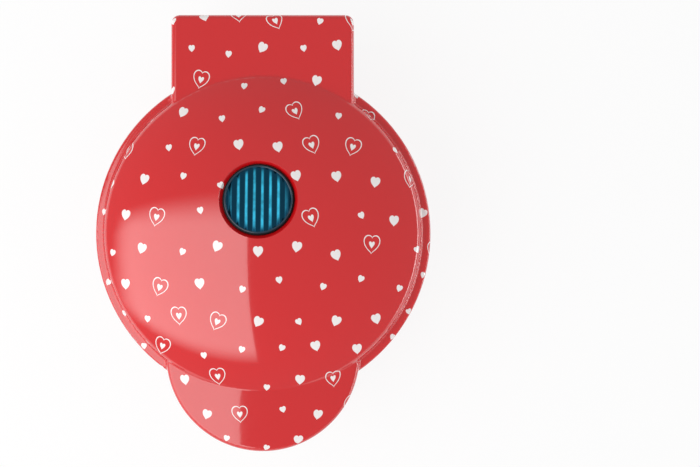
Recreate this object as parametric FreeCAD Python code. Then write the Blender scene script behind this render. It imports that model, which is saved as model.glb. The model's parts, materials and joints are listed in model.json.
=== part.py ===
import FreeCAD, Part
import math
import os
from FreeCAD import Vector

# A mini waffle maker, in millimetres. +Z is up, the feet stand on z = 0, the front handle points to -Y and
# the hinge block to +Y. The centre of the round rim is on the Z axis, halfway along the length.

# Overall sizes
RIM_R = 62.5            # outer radius of the round rim, lid and base alike
HALF_LENGTH = 81.0      # from the rim's centre to the handle's tip, and to the block's back
TOP_Z = 71.0            # top of the dome
WALL = 2.2              # moulded wall
GAP = 0.4               # between the closed lid and the base
FIT = 0.2               # around pieces that drop into a moulding
SEAM_Z = 36.0           # the plane where lid and base meet
LID_Z = SEAM_Z + GAP / 2
BASE_Z = SEAM_Z - GAP / 2

# Lid
CROWN_R = 103.7         # the dome's crown is part of a sphere
CROWN_END_R = 57.0      # radius about the Z axis at which the crown turns into the shoulder
SHOULDER_ROUND = 4.0
WALL_DEG = 78.0         # slope of the short wall under the shoulder
WALL_L = 1.0
STEP_ROUND = 1.5        # hollow curve from that wall out to the rim's flat top
RIM_ROUND = 1.3
PLATFORM_ROUND = 2.2    # outer edges of the block and the handle
JOIN_ROUND = 1.5        # where their tops run into the dome
BLOCK_W = 67.7
BLOCK_Z = 53.0
BLOCK_CORNER = 3.2
HANDLE_R = 36.0         # round front handle of the lid
HANDLE_Z = 53.6         # top of its slightly domed face
HANDLE_CROWN_R = 300.0
BOSS_SINK = 1.5         # the lid's screw posts end this far below its outer face
FRAME_H = 3.2           # ring that carries the plate in the lid
FRAME_BACK = 65.6       # rear edge of that ring, clear of the hinge
FRAME_SCREWS = [(-16.0, -64.0), (16.0, -64.0), (-26.5, 60.5), (26.5, 60.5)]

# Base
BOWL_BOTTOM_Z = 4.5
BOWL_R = 57.5           # where the bowl's wall would meet its underside, before rounding
BOWL_ROUND = 12.0
BOWL_TOP_R = 59.9       # where the bowl's wall meets its rim
BOWL_RIM_H = 5.4
LEDGE_Z = 31.2          # underside of the ledge that carries the lower plate
BLOCK_CEILING = 24.8    # top of the hollow in the rear block, under the hinge
FRONT_BOSS_Z = 13.0
BASE_HANDLE_R = 33.0
BASE_HANDLE_TIP = 76.0  # shorter than the lid's handle, so that a fingertip lifts the lid
BASE_HANDLE_Z = 25.0    # underside of the base's handle
HANDLE_ROUND = 4.0
COVER_R = 43.0          # bottom cover, round part
COVER_HALF_W = 29.0     # bottom cover, part under the block
COVER_BACK = 75.5
COVER_H = 2.2
FOOT_R = 5.5
FOOT_STEM_R = 2.5
FOOT_ROUND = 0.8
FOOT_BARB_H = 2.5
VENTS = 5               # cooling slots in the bottom cover
VENT_PITCH = 7.0
VENT_R = 1.2
VENT_HALF_L = 13.0
FOOT_PLACES = {
    "foot_front_left": (-22.0, -30.0),
    "foot_front_right": (22.0, -30.0),
    "foot_rear_left": (-22.0, 61.0),
    "foot_rear_right": (22.0, 61.0),
}
COVER_SCREWS = [(-36.0, -12.0), (36.0, -12.0), (-24.5, 70.5), (24.5, 70.5)]
BOSS_R = 3.6
BOSS_DEPTH = 5.0        # depth of a boss's pilot hole
SCREW_R = 1.5
SCREW_HEAD_R = 2.8
SCREW_HEAD_H = 1.4
SCREW_L = 5.4           # shank of the screws in the mouldings

# Hinge
HINGE_Y = 74.0
HINGE_Z = SEAM_Z
BARREL_R = HALF_LENGTH - HINGE_Y
KNUCKLE_HALF_W = 20.0
KNUCKLE_R = 6.6
HINGE_GAP = 0.4
OPEN_DEG = 100.0
SHELF_DEG = OPEN_DEG - 90.0 + 1.5   # slope of the shelf that stops the open lid, with a little to spare
PIN_R = 2.5
BUSH_R = 3.5
BUSH_BORE_R = 1.4
RUNNING = 0.05          # radial clearance of the pin and the bush in the knuckle
PIN_INNER_X = 8.0
PIN_OUTER_X = 31.0
BUSH_OUTER_X = 24.0
NECK_FRONT = 5.0        # the knuckle's neck, before and behind the hinge axis
NECK_BACK = 4.0

# Baking plates
PLATE_R = 54.6          # body of the plate at its face
PLATE_BACK_R = 52.0     # and at its back
PLATE_LIP_R = 57.0
PLATE_LIP_H = 1.6
PLATE_H = 11.0
PLATE_STEP = 0.2        # plate rims lie this far back from the seam faces
CAVITY = 8.0            # depth of the heart-shaped hollow
HEART_SIDE = 55.0       # side of the square that the heart is drawn on
HEART_SHIFT = -10.2     # puts the heart's enclosing circle on the plate's centre
HEART_ROUND = 4.0       # at the tip and the notch
HEART_DRAFT = 1.6       # how much smaller the heart is at its floor
GRID = 15.4             # pitch of the pegs that print the waffle's pockets
PEG_FOOT = 11.4
PEG_TOP = 9.4
PEG_H = 5.5
PEG_COLUMNS = 6
PEG_ROWS = 6
PEG_SHIFT = -6.0        # puts whole rows across the widest part of the heart
PEG_LEAST = 0.12        # smaller scraps of a clipped peg are left out
PEG_MARGIN = 3.4        # ridge left between the clipped pegs and the cavity's wall
GROOVE_R = 51.9         # overflow groove round the heart
GROOVE_HALF_W = 1.1
GROOVE_DEPTH = 1.2

# Heating, wiring and lamp
ELEMENT_R = 33.0
ELEMENT_TUBE = 3.2
ELEMENT_GAP_DEG = 60.0
LEG_END_Y = 42.0
SEAT_H = 2.4            # raised ring on the plate's back that the element lies in
SEAT_HALF_W = 5.0
REFLECTOR_R = 46.0
REFLECTOR_T = 0.8
REFLECTOR_RIM = 2.2
REFLECTOR_HOLE_R = 10.0
REFLECTOR_DROP = 8.0    # between the plate's back and the reflector's floor
PLATE_SCREW_R = 41.0    # circle of the three screws that hold plate and reflector
LEAD_R = 1.1
LEAD_BEND = 3.4         # how far from a corner a lead starts to bend
LEAD_MEET_X = 12.0      # where the two leads meet inside the hinge bush
LEAD_TURN_X = 27.5      # where the lid's lead turns up out of the hinge
LEAD_DOWN_X = 4.0       # where the base's lead turns down out of the hinge
LENS_Y = 12.2           # indicator, towards the hinge from the dome's centre
LENS_R = 11.8
LENS_LOW = -4.2         # underside of the lens below the dome's surface
FLUTE_Z = -2.2
FLUTE_GAP = 0.15
BEZEL_R = 12.7
LENS_SEAT_R = 14.0      # chamfered seat in the dome
FLUTES = 8
BEZEL_TOP = -1.1
BEZEL_LOW = -7.0
BEZEL_LEDGE = 1.2
BEZEL_ROUND = 0.4
LAMP_R = 3.0
LAMP_CUP_H = 5.0
THERMO_R = 8.0
THERMO_CAP_H = 3.5
THERMO_BODY_H = 6.5
TAB_X = (-4.0, 4.0)
TAB_W = 4.8
TAB_T = 0.8
TAB_L = 6.0
CLIP_HALF_L = 16.0
CLIP_HALF_W = 9.0
CLIP_T = 0.8
FUSE_R = 2.0
FUSE_HALF_L = 7.0
FUSE_WIRE_R = 0.6
FUSE_Y = -14.0
TERMINAL_HALF_W = 12.0
TERMINAL_Y0 = 57.0
TERMINAL_Y1 = 64.0
TERMINAL_Z = 15.0
TERMINAL_WELLS = (-8.0, 0.0, 8.0)
GLAND_Z = 13.0
GLAND_R = 5.0
GLAND_BORE_R = 3.4
GLAND_FLANGE = 1.8

UP = Vector(0, 0, 1)
ACROSS = Vector(1, 0, 0)
REAR = Vector(0, 1, 0)
ORIGIN = Vector(0, 0, 0)


# Drawing helpers

def box(x0, x1, y0, y1, z0, z1):
    return Part.makeBox(x1 - x0, y1 - y0, z1 - z0, Vector(x0, y0, z0))


def post(radius, x, y, z0, z1):
    return Part.makeCylinder(radius, z1 - z0, Vector(x, y, z0))


def rod(radius, x0, x1, y, z):
    return Part.makeCylinder(radius, x1 - x0, Vector(x0, y, z), ACROSS)


def line(a, b):
    return Part.LineSegment(a, b).toShape()


def arc(a, through, b):
    return Part.Arc(a, through, b).toShape()


def face(edges):
    return Part.Face(Part.Wire(edges))


def polygon(points):
    return Part.Face(Part.makePolygon(points + points[:1]))


def spin(profile):
    return profile.revolve(ORIGIN, UP, 360)


def mirror_x(shape):
    return shape.mirror(ORIGIN, ACROSS)


def level_edges(shape, z, keep):
    """Edges that lie wholly at height z and pass the test keep."""
    found = []
    for edge in shape.Edges:
        if edge.Degenerated:
            continue
        low, high = edge.BoundBox.ZMin, edge.BoundBox.ZMax
        if abs(low - z) < 1e-3 and abs(high - z) < 1e-3 and keep(edge):
            found.append(edge)
    return found


def circle_of(radius):
    return lambda edge: isinstance(edge.Curve, Part.Circle) and abs(edge.Curve.Radius - radius) < 1e-3


def any_edge(edge):
    return True


def round_level(shape, z, radius, keep=any_edge):
    return shape.makeFillet(radius, level_edges(shape, z, keep))


# Lid mouldings

def on_arc(centre, radius, deg):
    """Point on a circle in the XZ plane, at an angle from upright; a negative radius gives a hollow curve."""
    angle = math.radians(deg)
    return centre + Vector(math.sin(angle), 0, math.cos(angle)) * radius


def bow(centre, radius, start, end):
    return arc(*[on_arc(centre, radius, deg) for deg in (start, (start + end) / 2, end)])


def dome(inset):
    """Crown, shoulder, short wall and rim of the lid as a solid of revolution, shrunk by inset."""
    crown = Vector(0, 0, TOP_Z - CROWN_R)
    crown_deg = math.degrees(math.asin(CROWN_END_R / CROWN_R))
    shoulder = on_arc(crown, CROWN_R - SHOULDER_ROUND, crown_deg)
    shoulder_r = SHOULDER_ROUND - inset
    step_r = STEP_ROUND + inset
    rim_r = max(RIM_ROUND - inset, FIT)
    wall_top = on_arc(shoulder, shoulder_r, WALL_DEG)
    wall_foot = on_arc(wall_top, WALL_L, WALL_DEG + 90)
    step = on_arc(wall_foot, step_r, WALL_DEG)
    step_end = on_arc(step, -step_r, 0)
    rim = Vector(RIM_R - inset - rim_r, 0, step_end.z - rim_r)
    rim_side = on_arc(rim, rim_r, 90)
    foot = Vector(rim_side.x, 0, LID_Z)
    centre = Vector(0, 0, LID_Z)
    return spin(face([
        bow(crown, CROWN_R - inset, 0, crown_deg),
        bow(shoulder, shoulder_r, crown_deg, WALL_DEG),
        line(wall_top, wall_foot),
        bow(step, -step_r, WALL_DEG, 0),
        line(step_end, on_arc(rim, rim_r, 0)),
        bow(rim, rim_r, 0, 90),
        line(rim_side, foot),
        line(foot, centre),
        line(centre, on_arc(crown, CROWN_R - inset, 0)),
    ]))


def block(half_w, back, z0, z1, corner):
    """Rear block with rounded back corners, reaching forward into the round body."""
    solid = box(-half_w, half_w, 0, back, z0, z1)
    upright = [e for e in solid.Edges if e.BoundBox.ZLength > 1 and e.BoundBox.YMin > back - 1e-3]
    return solid.makeFillet(corner, upright)


def handle(inset):
    """Round front handle with a slightly domed top, shrunk by inset."""
    y = HANDLE_R - HALF_LENGTH
    ball = Part.makeSphere(HANDLE_CROWN_R - inset, Vector(0, y, HANDLE_Z - HANDLE_CROWN_R))
    return post(HANDLE_R - inset, 0, y, LID_Z, HANDLE_Z).common(ball)


def handle_edge_z():
    return HANDLE_Z - HANDLE_CROWN_R + math.sqrt(HANDLE_CROWN_R ** 2 - HANDLE_R ** 2)


def joins(body):
    """The two long curves where the block's top and the handle's top run into the dome's shoulder."""
    def is_shoulder(surface):
        return isinstance(surface, Part.Toroid) and abs(surface.MinorRadius - SHOULDER_ROUND) < 1e-3

    def is_top(surface):
        return isinstance(surface, Part.Plane) or getattr(surface, "Radius", 0) == HANDLE_CROWN_R

    found = []
    for edge in body.Edges:
        sides = [f.Surface for f in body.ancestorsOfType(edge, Part.Face)]
        if edge.BoundBox.XLength > HANDLE_R and any(map(is_shoulder, sides)) and any(map(is_top, sides)):
            found.append(edge)
    return found


def lid_outside():
    """The lid's outer form: dome, block and handle with rounded edges and softened joins."""
    rear = block(BLOCK_W / 2, HALF_LENGTH, LID_Z, BLOCK_Z, BLOCK_CORNER)
    rear = round_level(rear, BLOCK_Z, PLATFORM_ROUND, lambda edge: edge.BoundBox.YMax > 1)
    front = round_level(handle(0), handle_edge_z(), PLATFORM_ROUND)
    body = dome(0).fuse([rear, front]).removeSplitter()
    return body.makeFillet(JOIN_ROUND, joins(body))


def lid_inside():
    rear = block(BLOCK_W / 2 - WALL, HALF_LENGTH - WALL, LID_Z, BLOCK_Z - WALL, BLOCK_CORNER - WALL)
    return dome(WALL).fuse([rear, handle(WALL)])


def on_dome(shape):
    """Carry a piece drawn about the Z axis to the indicator's place, square to the dome."""
    tilt = math.asin(LENS_Y / CROWN_R)
    moved = shape.copy()
    moved.rotate(ORIGIN, ACROSS, -math.degrees(tilt))
    moved.translate(Vector(0, LENS_Y, TOP_Z - CROWN_R * (1 - math.cos(tilt))))
    return moved


def lens_seat():
    """Hole for the indicator, opening out in a chamfer at the dome's surface."""
    hole = post(BEZEL_R + FIT / 2, 0, 0, -9, 2)
    mouth_z = -LENS_SEAT_R ** 2 / (2 * CROWN_R)
    slope = LENS_SEAT_R - BEZEL_R
    mouth = Part.makeCone(BEZEL_R, LENS_SEAT_R + 2, slope + 2, Vector(0, 0, mouth_z - slope))
    return on_dome(hole.fuse(mouth))


def lid_barrels():
    """Solid ends of the lid's block that turn about the hinge axis."""
    inner_x = KNUCKLE_HALF_W + HINGE_GAP
    right = rod(BARREL_R, inner_x, BLOCK_W / 2, HINGE_Y, HINGE_Z)
    plan = block(BLOCK_W / 2, HALF_LENGTH, HINGE_Z - BARREL_R, HINGE_Z + BARREL_R, BLOCK_CORNER)
    right = right.common(plan)
    return [right, mirror_x(right)]


def lid_bosses():
    """Screw posts that hang from the lid's ceiling down to the frame."""
    top_of_frame = LID_Z + FRAME_H
    posts = []
    for x, y in FRAME_SCREWS:
        ceiling = HANDLE_Z if y < 0 else BLOCK_Z
        tube = post(BOSS_R, x, y, top_of_frame, ceiling - BOSS_SINK)
        posts.append(tube.cut(post(SCREW_R + RUNNING, x, y, top_of_frame, top_of_frame + BOSS_DEPTH)))
    return posts


def lid_cover():
    shell = lid_outside().cut(lid_inside())
    shell = shell.fuse(lid_barrels() + lid_bosses())
    notch_w = KNUCKLE_HALF_W + HINGE_GAP
    notch_top = HINGE_Z + KNUCKLE_R + 2 * HINGE_GAP
    notch = box(-notch_w, notch_w, HINGE_Y - BARREL_R, HALF_LENGTH + 1, HINGE_Z - BARREL_R, notch_top)
    pin_bore = rod(PIN_R, -PIN_OUTER_X, 0, HINGE_Y, HINGE_Z)
    bush_bore = rod(BUSH_R, 0, BUSH_OUTER_X, HINGE_Y, HINGE_Z)
    lead_slot = box(BUSH_OUTER_X, LEAD_TURN_X + 2, HINGE_Y - 2, HINGE_Y + 2, HINGE_Z - 2, BLOCK_Z - WALL)
    return shell.cut([notch, pin_bore, bush_bore, lead_slot, lens_seat()]).removeSplitter()


def screw_holes(places, z_face, z_end, up):
    """Clearance holes with sunk heads; up tells on which side of the plate the heads sit."""
    cutters = []
    for x, y in places:
        cutters.append(post(SCREW_R + FIT, x, y, min(z_face, z_end) - 1, max(z_face, z_end) + 1))
        sunk = SCREW_HEAD_H + FIT
        low = z_face - sunk if up else z_face
        cutters.append(post(SCREW_HEAD_R + FIT, x, y, low, low + sunk))
    return cutters


def lid_frame():
    """Ring under the lid that carries the upper plate and closes the handle and the block."""
    top = LID_Z + FRAME_H
    ring = post(RIM_R - WALL - FIT, 0, 0, LID_Z, top)
    front = post(HANDLE_R - WALL - FIT, 0, HANDLE_R - HALF_LENGTH, LID_Z, top)
    half_w = BLOCK_W / 2 - WALL - FIT
    rear = box(-half_w, half_w, 0, FRAME_BACK, LID_Z, top)
    well = post(PLATE_LIP_R + FIT, 0, 0, LID_Z - 1, LID_Z + PLATE_STEP + PLATE_LIP_H)
    hole = post(PLATE_R + FIT, 0, 0, LID_Z - 1, top + 1)
    frame = ring.fuse([front, rear]).removeSplitter()
    return frame.cut([well, hole] + screw_holes(FRAME_SCREWS, LID_Z, top, False))


# Base mouldings

def bowl():
    corners = [
        Vector(0, 0, BOWL_BOTTOM_Z),
        Vector(BOWL_R, 0, BOWL_BOTTOM_Z),
        Vector(BOWL_TOP_R, 0, BASE_Z - BOWL_RIM_H),
        Vector(RIM_R, 0, BASE_Z - BOWL_RIM_H),
        Vector(RIM_R, 0, BASE_Z),
        Vector(0, 0, BASE_Z),
    ]
    solid = spin(polygon(corners))
    solid = round_level(solid, BOWL_BOTTOM_Z, BOWL_ROUND)
    return round_level(solid, BASE_Z - BOWL_RIM_H, RIM_ROUND, circle_of(RIM_R))


def bowl_inside():
    """Hollow of the bowl up to the ledge, and the stepped well that the lower plate drops into."""
    floor = BOWL_BOTTOM_Z + WALL
    corners = [
        Vector(0, 0, floor),
        Vector(BOWL_R - WALL, 0, floor),
        Vector(BOWL_TOP_R - WALL, 0, LEDGE_Z),
        Vector(0, 0, LEDGE_Z),
    ]
    hollow = round_level(spin(polygon(corners)), floor, BOWL_ROUND - WALL)
    throat = post(PLATE_R + FIT, 0, 0, LEDGE_Z - 1, BASE_Z + 1)
    well = post(PLATE_LIP_R + FIT, 0, 0, BASE_Z - PLATE_STEP - PLATE_LIP_H, BASE_Z + 1)
    return [hollow, throat, well]


def hinge_pocket():
    """Round trough for the lid's barrels, running out to the back as the shelf that stops the open lid."""
    r = BARREL_R + HINGE_GAP
    slope = math.radians(SHELF_DEG)
    front = Vector(0, HINGE_Y - r, HINGE_Z)
    bottom = Vector(0, HINGE_Y - r * math.sin(math.pi / 4), HINGE_Z - r * math.cos(math.pi / 4))
    run_out = Vector(0, HINGE_Y - r * math.sin(slope), HINGE_Z - r * math.cos(slope))
    past = HALF_LENGTH + 2
    back = Vector(0, past, run_out.z - (past - run_out.y) * math.tan(slope))
    top = BASE_Z + 2
    edges = [
        arc(front, bottom, run_out),
        line(run_out, back),
        line(back, Vector(0, past, top)),
        line(Vector(0, past, top), Vector(0, front.y, top)),
        line(Vector(0, front.y, top), front),
    ]
    width = BLOCK_W + 2
    trough = face(edges).extrude(Vector(width, 0, 0))
    trough.translate(Vector(-width / 2, 0, 0))
    return trough


def hinge_knuckle():
    """Middle knuckle of the base with blind bores for the pin and the bush, and the lead's channel."""
    barrel = rod(KNUCKLE_R, -KNUCKLE_HALF_W, KNUCKLE_HALF_W, HINGE_Y, HINGE_Z)
    neck = box(-KNUCKLE_HALF_W, KNUCKLE_HALF_W, HINGE_Y - NECK_FRONT, HINGE_Y + NECK_BACK,
               BLOCK_CEILING, HINGE_Z)
    return barrel.fuse(neck)


def hinge_bores():
    end = KNUCKLE_HALF_W + 1
    pin = rod(PIN_R + RUNNING, -end, -PIN_INNER_X + HINGE_GAP, HINGE_Y, HINGE_Z)
    bush = rod(BUSH_R + RUNNING, PIN_INNER_X - HINGE_GAP, end, HINGE_Y, HINGE_Z)
    lead_x = rod(LEAD_R + FIT, LEAD_DOWN_X - LEAD_R, PIN_INNER_X, HINGE_Y, HINGE_Z)
    lead_z = post(LEAD_R + FIT, LEAD_DOWN_X, HINGE_Y, BLOCK_CEILING - 1, HINGE_Z + LEAD_R)
    half = LEAD_R + FIT
    bend_z = HINGE_Z - PIN_INNER_X + LEAD_DOWN_X
    bend = box(LEAD_DOWN_X, PIN_INNER_X, HINGE_Y - half, HINGE_Y + half, bend_z, HINGE_Z)
    return [pin, bush, lead_x, lead_z, bend]


def cover_plan(grow, z0, z1):
    """Outline of the bottom cover as a slab."""
    disc = post(COVER_R + grow, 0, 0, z0, z1)
    rear = box(-COVER_HALF_W - grow, COVER_HALF_W + grow, 0, COVER_BACK + grow, z0, z1)
    return disc.fuse(rear).removeSplitter()


def gland_plan(grow, y0, y1, z0):
    """Upright slot shape with a round top, along Y."""
    top = Part.makeCylinder(GLAND_R + grow, y1 - y0, Vector(0, y0, GLAND_Z), REAR)
    return top.fuse(box(-GLAND_R - grow, GLAND_R + grow, y0, y1, z0, GLAND_Z)).removeSplitter()


def base_bosses(outside):
    """Screw posts for the bottom cover, ribbed to the bowl at the front and hung from the block behind."""
    floor = BOWL_BOTTOM_Z + COVER_H
    made = []
    for x, y in COVER_SCREWS:
        top = BLOCK_CEILING + 1 if y > 0 else FRONT_BOSS_Z
        tube = post(BOSS_R, x, y, floor, top)
        if y < 0:
            reach = math.copysign(RIM_R, x)
            rib = box(min(x, reach), max(x, reach), y - 1, y + 1, floor + 1, top - 1)
            tube = tube.fuse(rib).common(outside)
        made.append(tube.cut(post(SCREW_R + RUNNING, x, y, floor, floor + BOSS_DEPTH)))
    return made


def base_shell():
    front = post(BASE_HANDLE_R, 0, BASE_HANDLE_R - BASE_HANDLE_TIP, BASE_HANDLE_Z, BASE_Z)
    front = round_level(front, BASE_HANDLE_Z, HANDLE_ROUND)
    rear = block(BLOCK_W / 2, HALF_LENGTH, BOWL_BOTTOM_Z, BASE_Z, BLOCK_CORNER)
    rear = round_level(rear, BOWL_BOTTOM_Z, PLATFORM_ROUND, lambda e: e.BoundBox.YMax > 1)
    outside = bowl().fuse([front, rear]).removeSplitter().cut(hinge_pocket())
    half_w = BLOCK_W / 2 - WALL
    floor = BOWL_BOTTOM_Z + WALL
    hollows = bowl_inside()
    hollows.append(post(BASE_HANDLE_R - WALL, 0, BASE_HANDLE_R - BASE_HANDLE_TIP,
                        BASE_HANDLE_Z + WALL, LEDGE_Z))
    hollows.append(box(-half_w, half_w, 0, HALF_LENGTH - WALL, floor, BLOCK_CEILING))
    hollows.append(box(-half_w, half_w, 0, HINGE_Y - BARREL_R - HINGE_GAP - WALL, floor, LEDGE_Z))
    shell = outside.cut(hollows)
    shell = shell.fuse([hinge_knuckle()] + base_bosses(outside))
    mouth = cover_plan(FIT, BOWL_BOTTOM_Z - 1, floor)
    slot = gland_plan(FIT / 2, COVER_BACK, HALF_LENGTH + 1, BOWL_BOTTOM_Z - 1)
    return shell.cut([mouth, slot] + hinge_bores()).removeSplitter()


def base_cover():
    """Flat bottom cover with cooling slots, sunk screw heads and holes for the feet."""
    top = BOWL_BOTTOM_Z + COVER_H
    plate = cover_plan(0, BOWL_BOTTOM_Z, top)
    cutters = screw_holes(COVER_SCREWS, BOWL_BOTTOM_Z, top, False)
    for x, y in FOOT_PLACES.values():
        cutters.append(post(FOOT_STEM_R + RUNNING, x, y, BOWL_BOTTOM_Z - 1, top + 1))
    for row in range(VENTS):
        y = (row - (VENTS - 1) / 2) * VENT_PITCH
        slot = box(-VENT_HALF_L, VENT_HALF_L, y - VENT_R, y + VENT_R, BOWL_BOTTOM_Z - 1, top + 1)
        ends = [post(VENT_R, x, y, BOWL_BOTTOM_Z - 1, top + 1) for x in (-VENT_HALF_L, VENT_HALF_L)]
        cutters.append(slot.fuse(ends))
    return plate.cut(cutters).removeSplitter()


def foot(x, y):
    """Rubber foot pushed through the bottom cover and held by the barb on its stem."""
    pad = round_level(post(FOOT_R, x, y, 0, BOWL_BOTTOM_Z), 0, FOOT_ROUND)
    top = BOWL_BOTTOM_Z + COVER_H
    stem = post(FOOT_STEM_R, x, y, BOWL_BOTTOM_Z, top)
    barb = Part.makeCone(FOOT_STEM_R + 1, FOOT_STEM_R - 0.5, FOOT_BARB_H, Vector(x, y, top))
    return pad.fuse([stem, barb]).removeSplitter()


def cord_gland():
    """Gland in the base's back wall: a plug that fills the slot, with a flange behind the wall."""
    front = COVER_BACK + 2 * FIT
    body = gland_plan(0, front, HALF_LENGTH, BOWL_BOTTOM_Z)
    flange = gland_plan(GLAND_FLANGE, front, HALF_LENGTH - WALL - FIT, BOWL_BOTTOM_Z + WALL + FIT)
    bore = Part.makeCylinder(GLAND_BORE_R, HALF_LENGTH, Vector(0, front - 1, GLAND_Z), REAR)
    return body.fuse(flange).cut(bore).removeSplitter()


# Hinge pieces

def hinge_pin():
    return rod(PIN_R, -PIN_OUTER_X, -PIN_INNER_X, HINGE_Y, HINGE_Z)


def hinge_bush():
    """Hollow pin on the right, which the lid's lead runs through."""
    tube = rod(BUSH_R, PIN_INNER_X, BUSH_OUTER_X, HINGE_Y, HINGE_Z)
    return tube.cut(rod(BUSH_BORE_R, PIN_INNER_X - 1, BUSH_OUTER_X + 1, HINGE_Y, HINGE_Z))


# Baking plates, drawn face up with the rim face at z = 0

def heart(inset, z):
    """Heart outline: a square on its corner with a half circle on each upper side, tip rounded."""
    middle = HEART_SIDE / (2 * math.sqrt(2))
    r = HEART_SIDE / 2 - inset
    diagonal = r / math.sqrt(2)
    tip_y = -2 * middle + inset * math.sqrt(2)
    tip_r = max(HEART_ROUND - inset, HEART_ROUND / 4)
    tip_x = tip_r / math.sqrt(2)
    notch_y = middle + math.sqrt(r * r - middle * middle)

    def at(x, y):
        return Vector(x, y + HEART_SHIFT, z)

    notch = at(0, notch_y)
    low_right, low_left = at(tip_x, tip_y + tip_x), at(-tip_x, tip_y + tip_x)
    outer, lower, upper = middle + diagonal, middle - diagonal, middle + diagonal
    side_right, side_left = at(outer, lower), at(-outer, lower)
    lobe_right, lobe_left = at(outer, upper), at(-outer, upper)
    return Part.Wire([
        arc(low_left, at(0, tip_y + tip_r * (math.sqrt(2) - 1)), low_right),
        line(low_right, side_right),
        arc(side_right, lobe_right, notch),
        arc(notch, lobe_left, side_left),
        line(side_left, low_left),
    ])


def square(size, x, y, z):
    h = size / 2
    turns = [(-h, -h), (h, -h), (h, h), (-h, h)]
    corners = [Vector(x + dx, y + dy, z) for dx, dy in turns]
    return Part.makePolygon(corners + corners[:1])


def pegs():
    """Tapered square pegs on a grid that print the pockets, clipped along the heart's edge."""
    floor = -CAVITY
    bounds = Part.Face(heart(HEART_DRAFT + PEG_MARGIN, floor)).extrude(Vector(0, 0, PEG_H))
    made = []
    for column in range(PEG_COLUMNS):
        for row in range(PEG_ROWS):
            x = (column - (PEG_COLUMNS - 1) / 2) * GRID
            y = (row - (PEG_ROWS - 1) / 2) * GRID + PEG_SHIFT
            ends = [square(PEG_FOOT, x, y, floor), square(PEG_TOP, x, y, floor + PEG_H)]
            peg = Part.makeLoft(ends, True, True)
            clipped = peg.common(bounds)
            if clipped.Volume > PEG_LEAST * peg.Volume:
                made.append(clipped.Solids[0])
    return made


def element(tube):
    """Horseshoe heating element with straight legs to the rear, in its place under a plate."""
    turn = 360 - ELEMENT_GAP_DEG
    start = 90 + ELEMENT_GAP_DEG / 2
    z = -PLATE_H - SEAT_H
    ring = Part.makeTorus(ELEMENT_R, tube, ORIGIN, UP, -180, 180, turn)
    ring.rotate(ORIGIN, UP, start)
    ring.translate(Vector(0, 0, z))
    pieces = []
    for side in (-1, 1):
        end = math.radians(90 - side * ELEMENT_GAP_DEG / 2)
        x, y = ELEMENT_R * math.cos(end), ELEMENT_R * math.sin(end)
        knee = Part.makeSphere(tube, Vector(x, y, z))
        leg = Part.makeCylinder(tube, LEG_END_Y - y, Vector(x, y, z), REAR)
        pieces += [knee, leg]
    return ring.fuse(pieces).removeSplitter()


def plate_screw_places():
    angles = [math.radians(a) for a in (30, 150, 270)]
    return [(PLATE_SCREW_R * math.cos(a), PLATE_SCREW_R * math.sin(a)) for a in angles]


def plate():
    """Cast plate: lip, heart-shaped hollow with pegs, overflow groove, and bosses on the back."""
    lip = post(PLATE_LIP_R, 0, 0, -PLATE_LIP_H, 0)
    body = Part.makeCone(PLATE_BACK_R, PLATE_R, PLATE_H, Vector(0, 0, -PLATE_H))
    seat = post(ELEMENT_R + SEAT_HALF_W, 0, 0, -PLATE_H - SEAT_H, -PLATE_H)
    seat = seat.cut(post(ELEMENT_R - SEAT_HALF_W, 0, 0, -PLATE_H - SEAT_H, -PLATE_H))
    back = -PLATE_H - REFLECTOR_DROP
    bosses = [post(BOSS_R, x, y, back, -PLATE_H) for x, y in plate_screw_places()]
    pilots = [post(SCREW_R + RUNNING, x, y, back - 1, back + BOSS_DEPTH) for x, y in plate_screw_places()]
    hollow = Part.makeLoft([heart(0, 0), heart(HEART_DRAFT, -CAVITY)], True, True)
    groove = post(GROOVE_R + GROOVE_HALF_W, 0, 0, -GROOVE_DEPTH, 1)
    groove = groove.cut(post(GROOVE_R - GROOVE_HALF_W, 0, 0, -GROOVE_DEPTH, 1))
    casting = lip.fuse([body, seat] + bosses)
    casting = casting.cut([hollow, groove, element(ELEMENT_TUBE + RUNNING)] + pilots)
    return casting.fuse(pegs()).removeSplitter()


def reflector():
    """Pressed pan that keeps the heat on the plate, with holes for the screws and the thermostat."""
    floor = -PLATE_H - REFLECTOR_DROP
    pan = post(REFLECTOR_R, 0, 0, floor - REFLECTOR_T, floor + REFLECTOR_RIM)
    pan = pan.cut(post(REFLECTOR_R - REFLECTOR_T, 0, 0, floor, floor + REFLECTOR_RIM))
    holes = [post(SCREW_R + FIT, x, y, floor - 1, floor) for x, y in plate_screw_places()]
    holes.append(post(REFLECTOR_HOLE_R, 0, 0, floor - 1, floor))
    return pan.cut(holes)


def plate_screws():
    floor = -PLATE_H - REFLECTOR_DROP
    head_z = floor - REFLECTOR_T
    made = []
    for x, y in plate_screw_places():
        head = post(SCREW_HEAD_R, x, y, head_z - SCREW_HEAD_H, head_z)
        made.append(head.fuse(post(SCREW_R, x, y, head_z, floor + BOSS_DEPTH - 1)).removeSplitter())
    return Part.makeCompound(made)


def in_base(shape):
    """Place something drawn with a plate into the base, face up."""
    moved = shape.copy()
    moved.translate(Vector(0, 0, BASE_Z - PLATE_STEP))
    return moved


def in_lid(shape):
    """Place something drawn with a plate into the lid, face down."""
    moved = shape.copy()
    moved.rotate(ORIGIN, REAR, 180)
    moved.translate(Vector(0, 0, LID_Z + PLATE_STEP))
    return moved


# Control and wiring pieces

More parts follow.
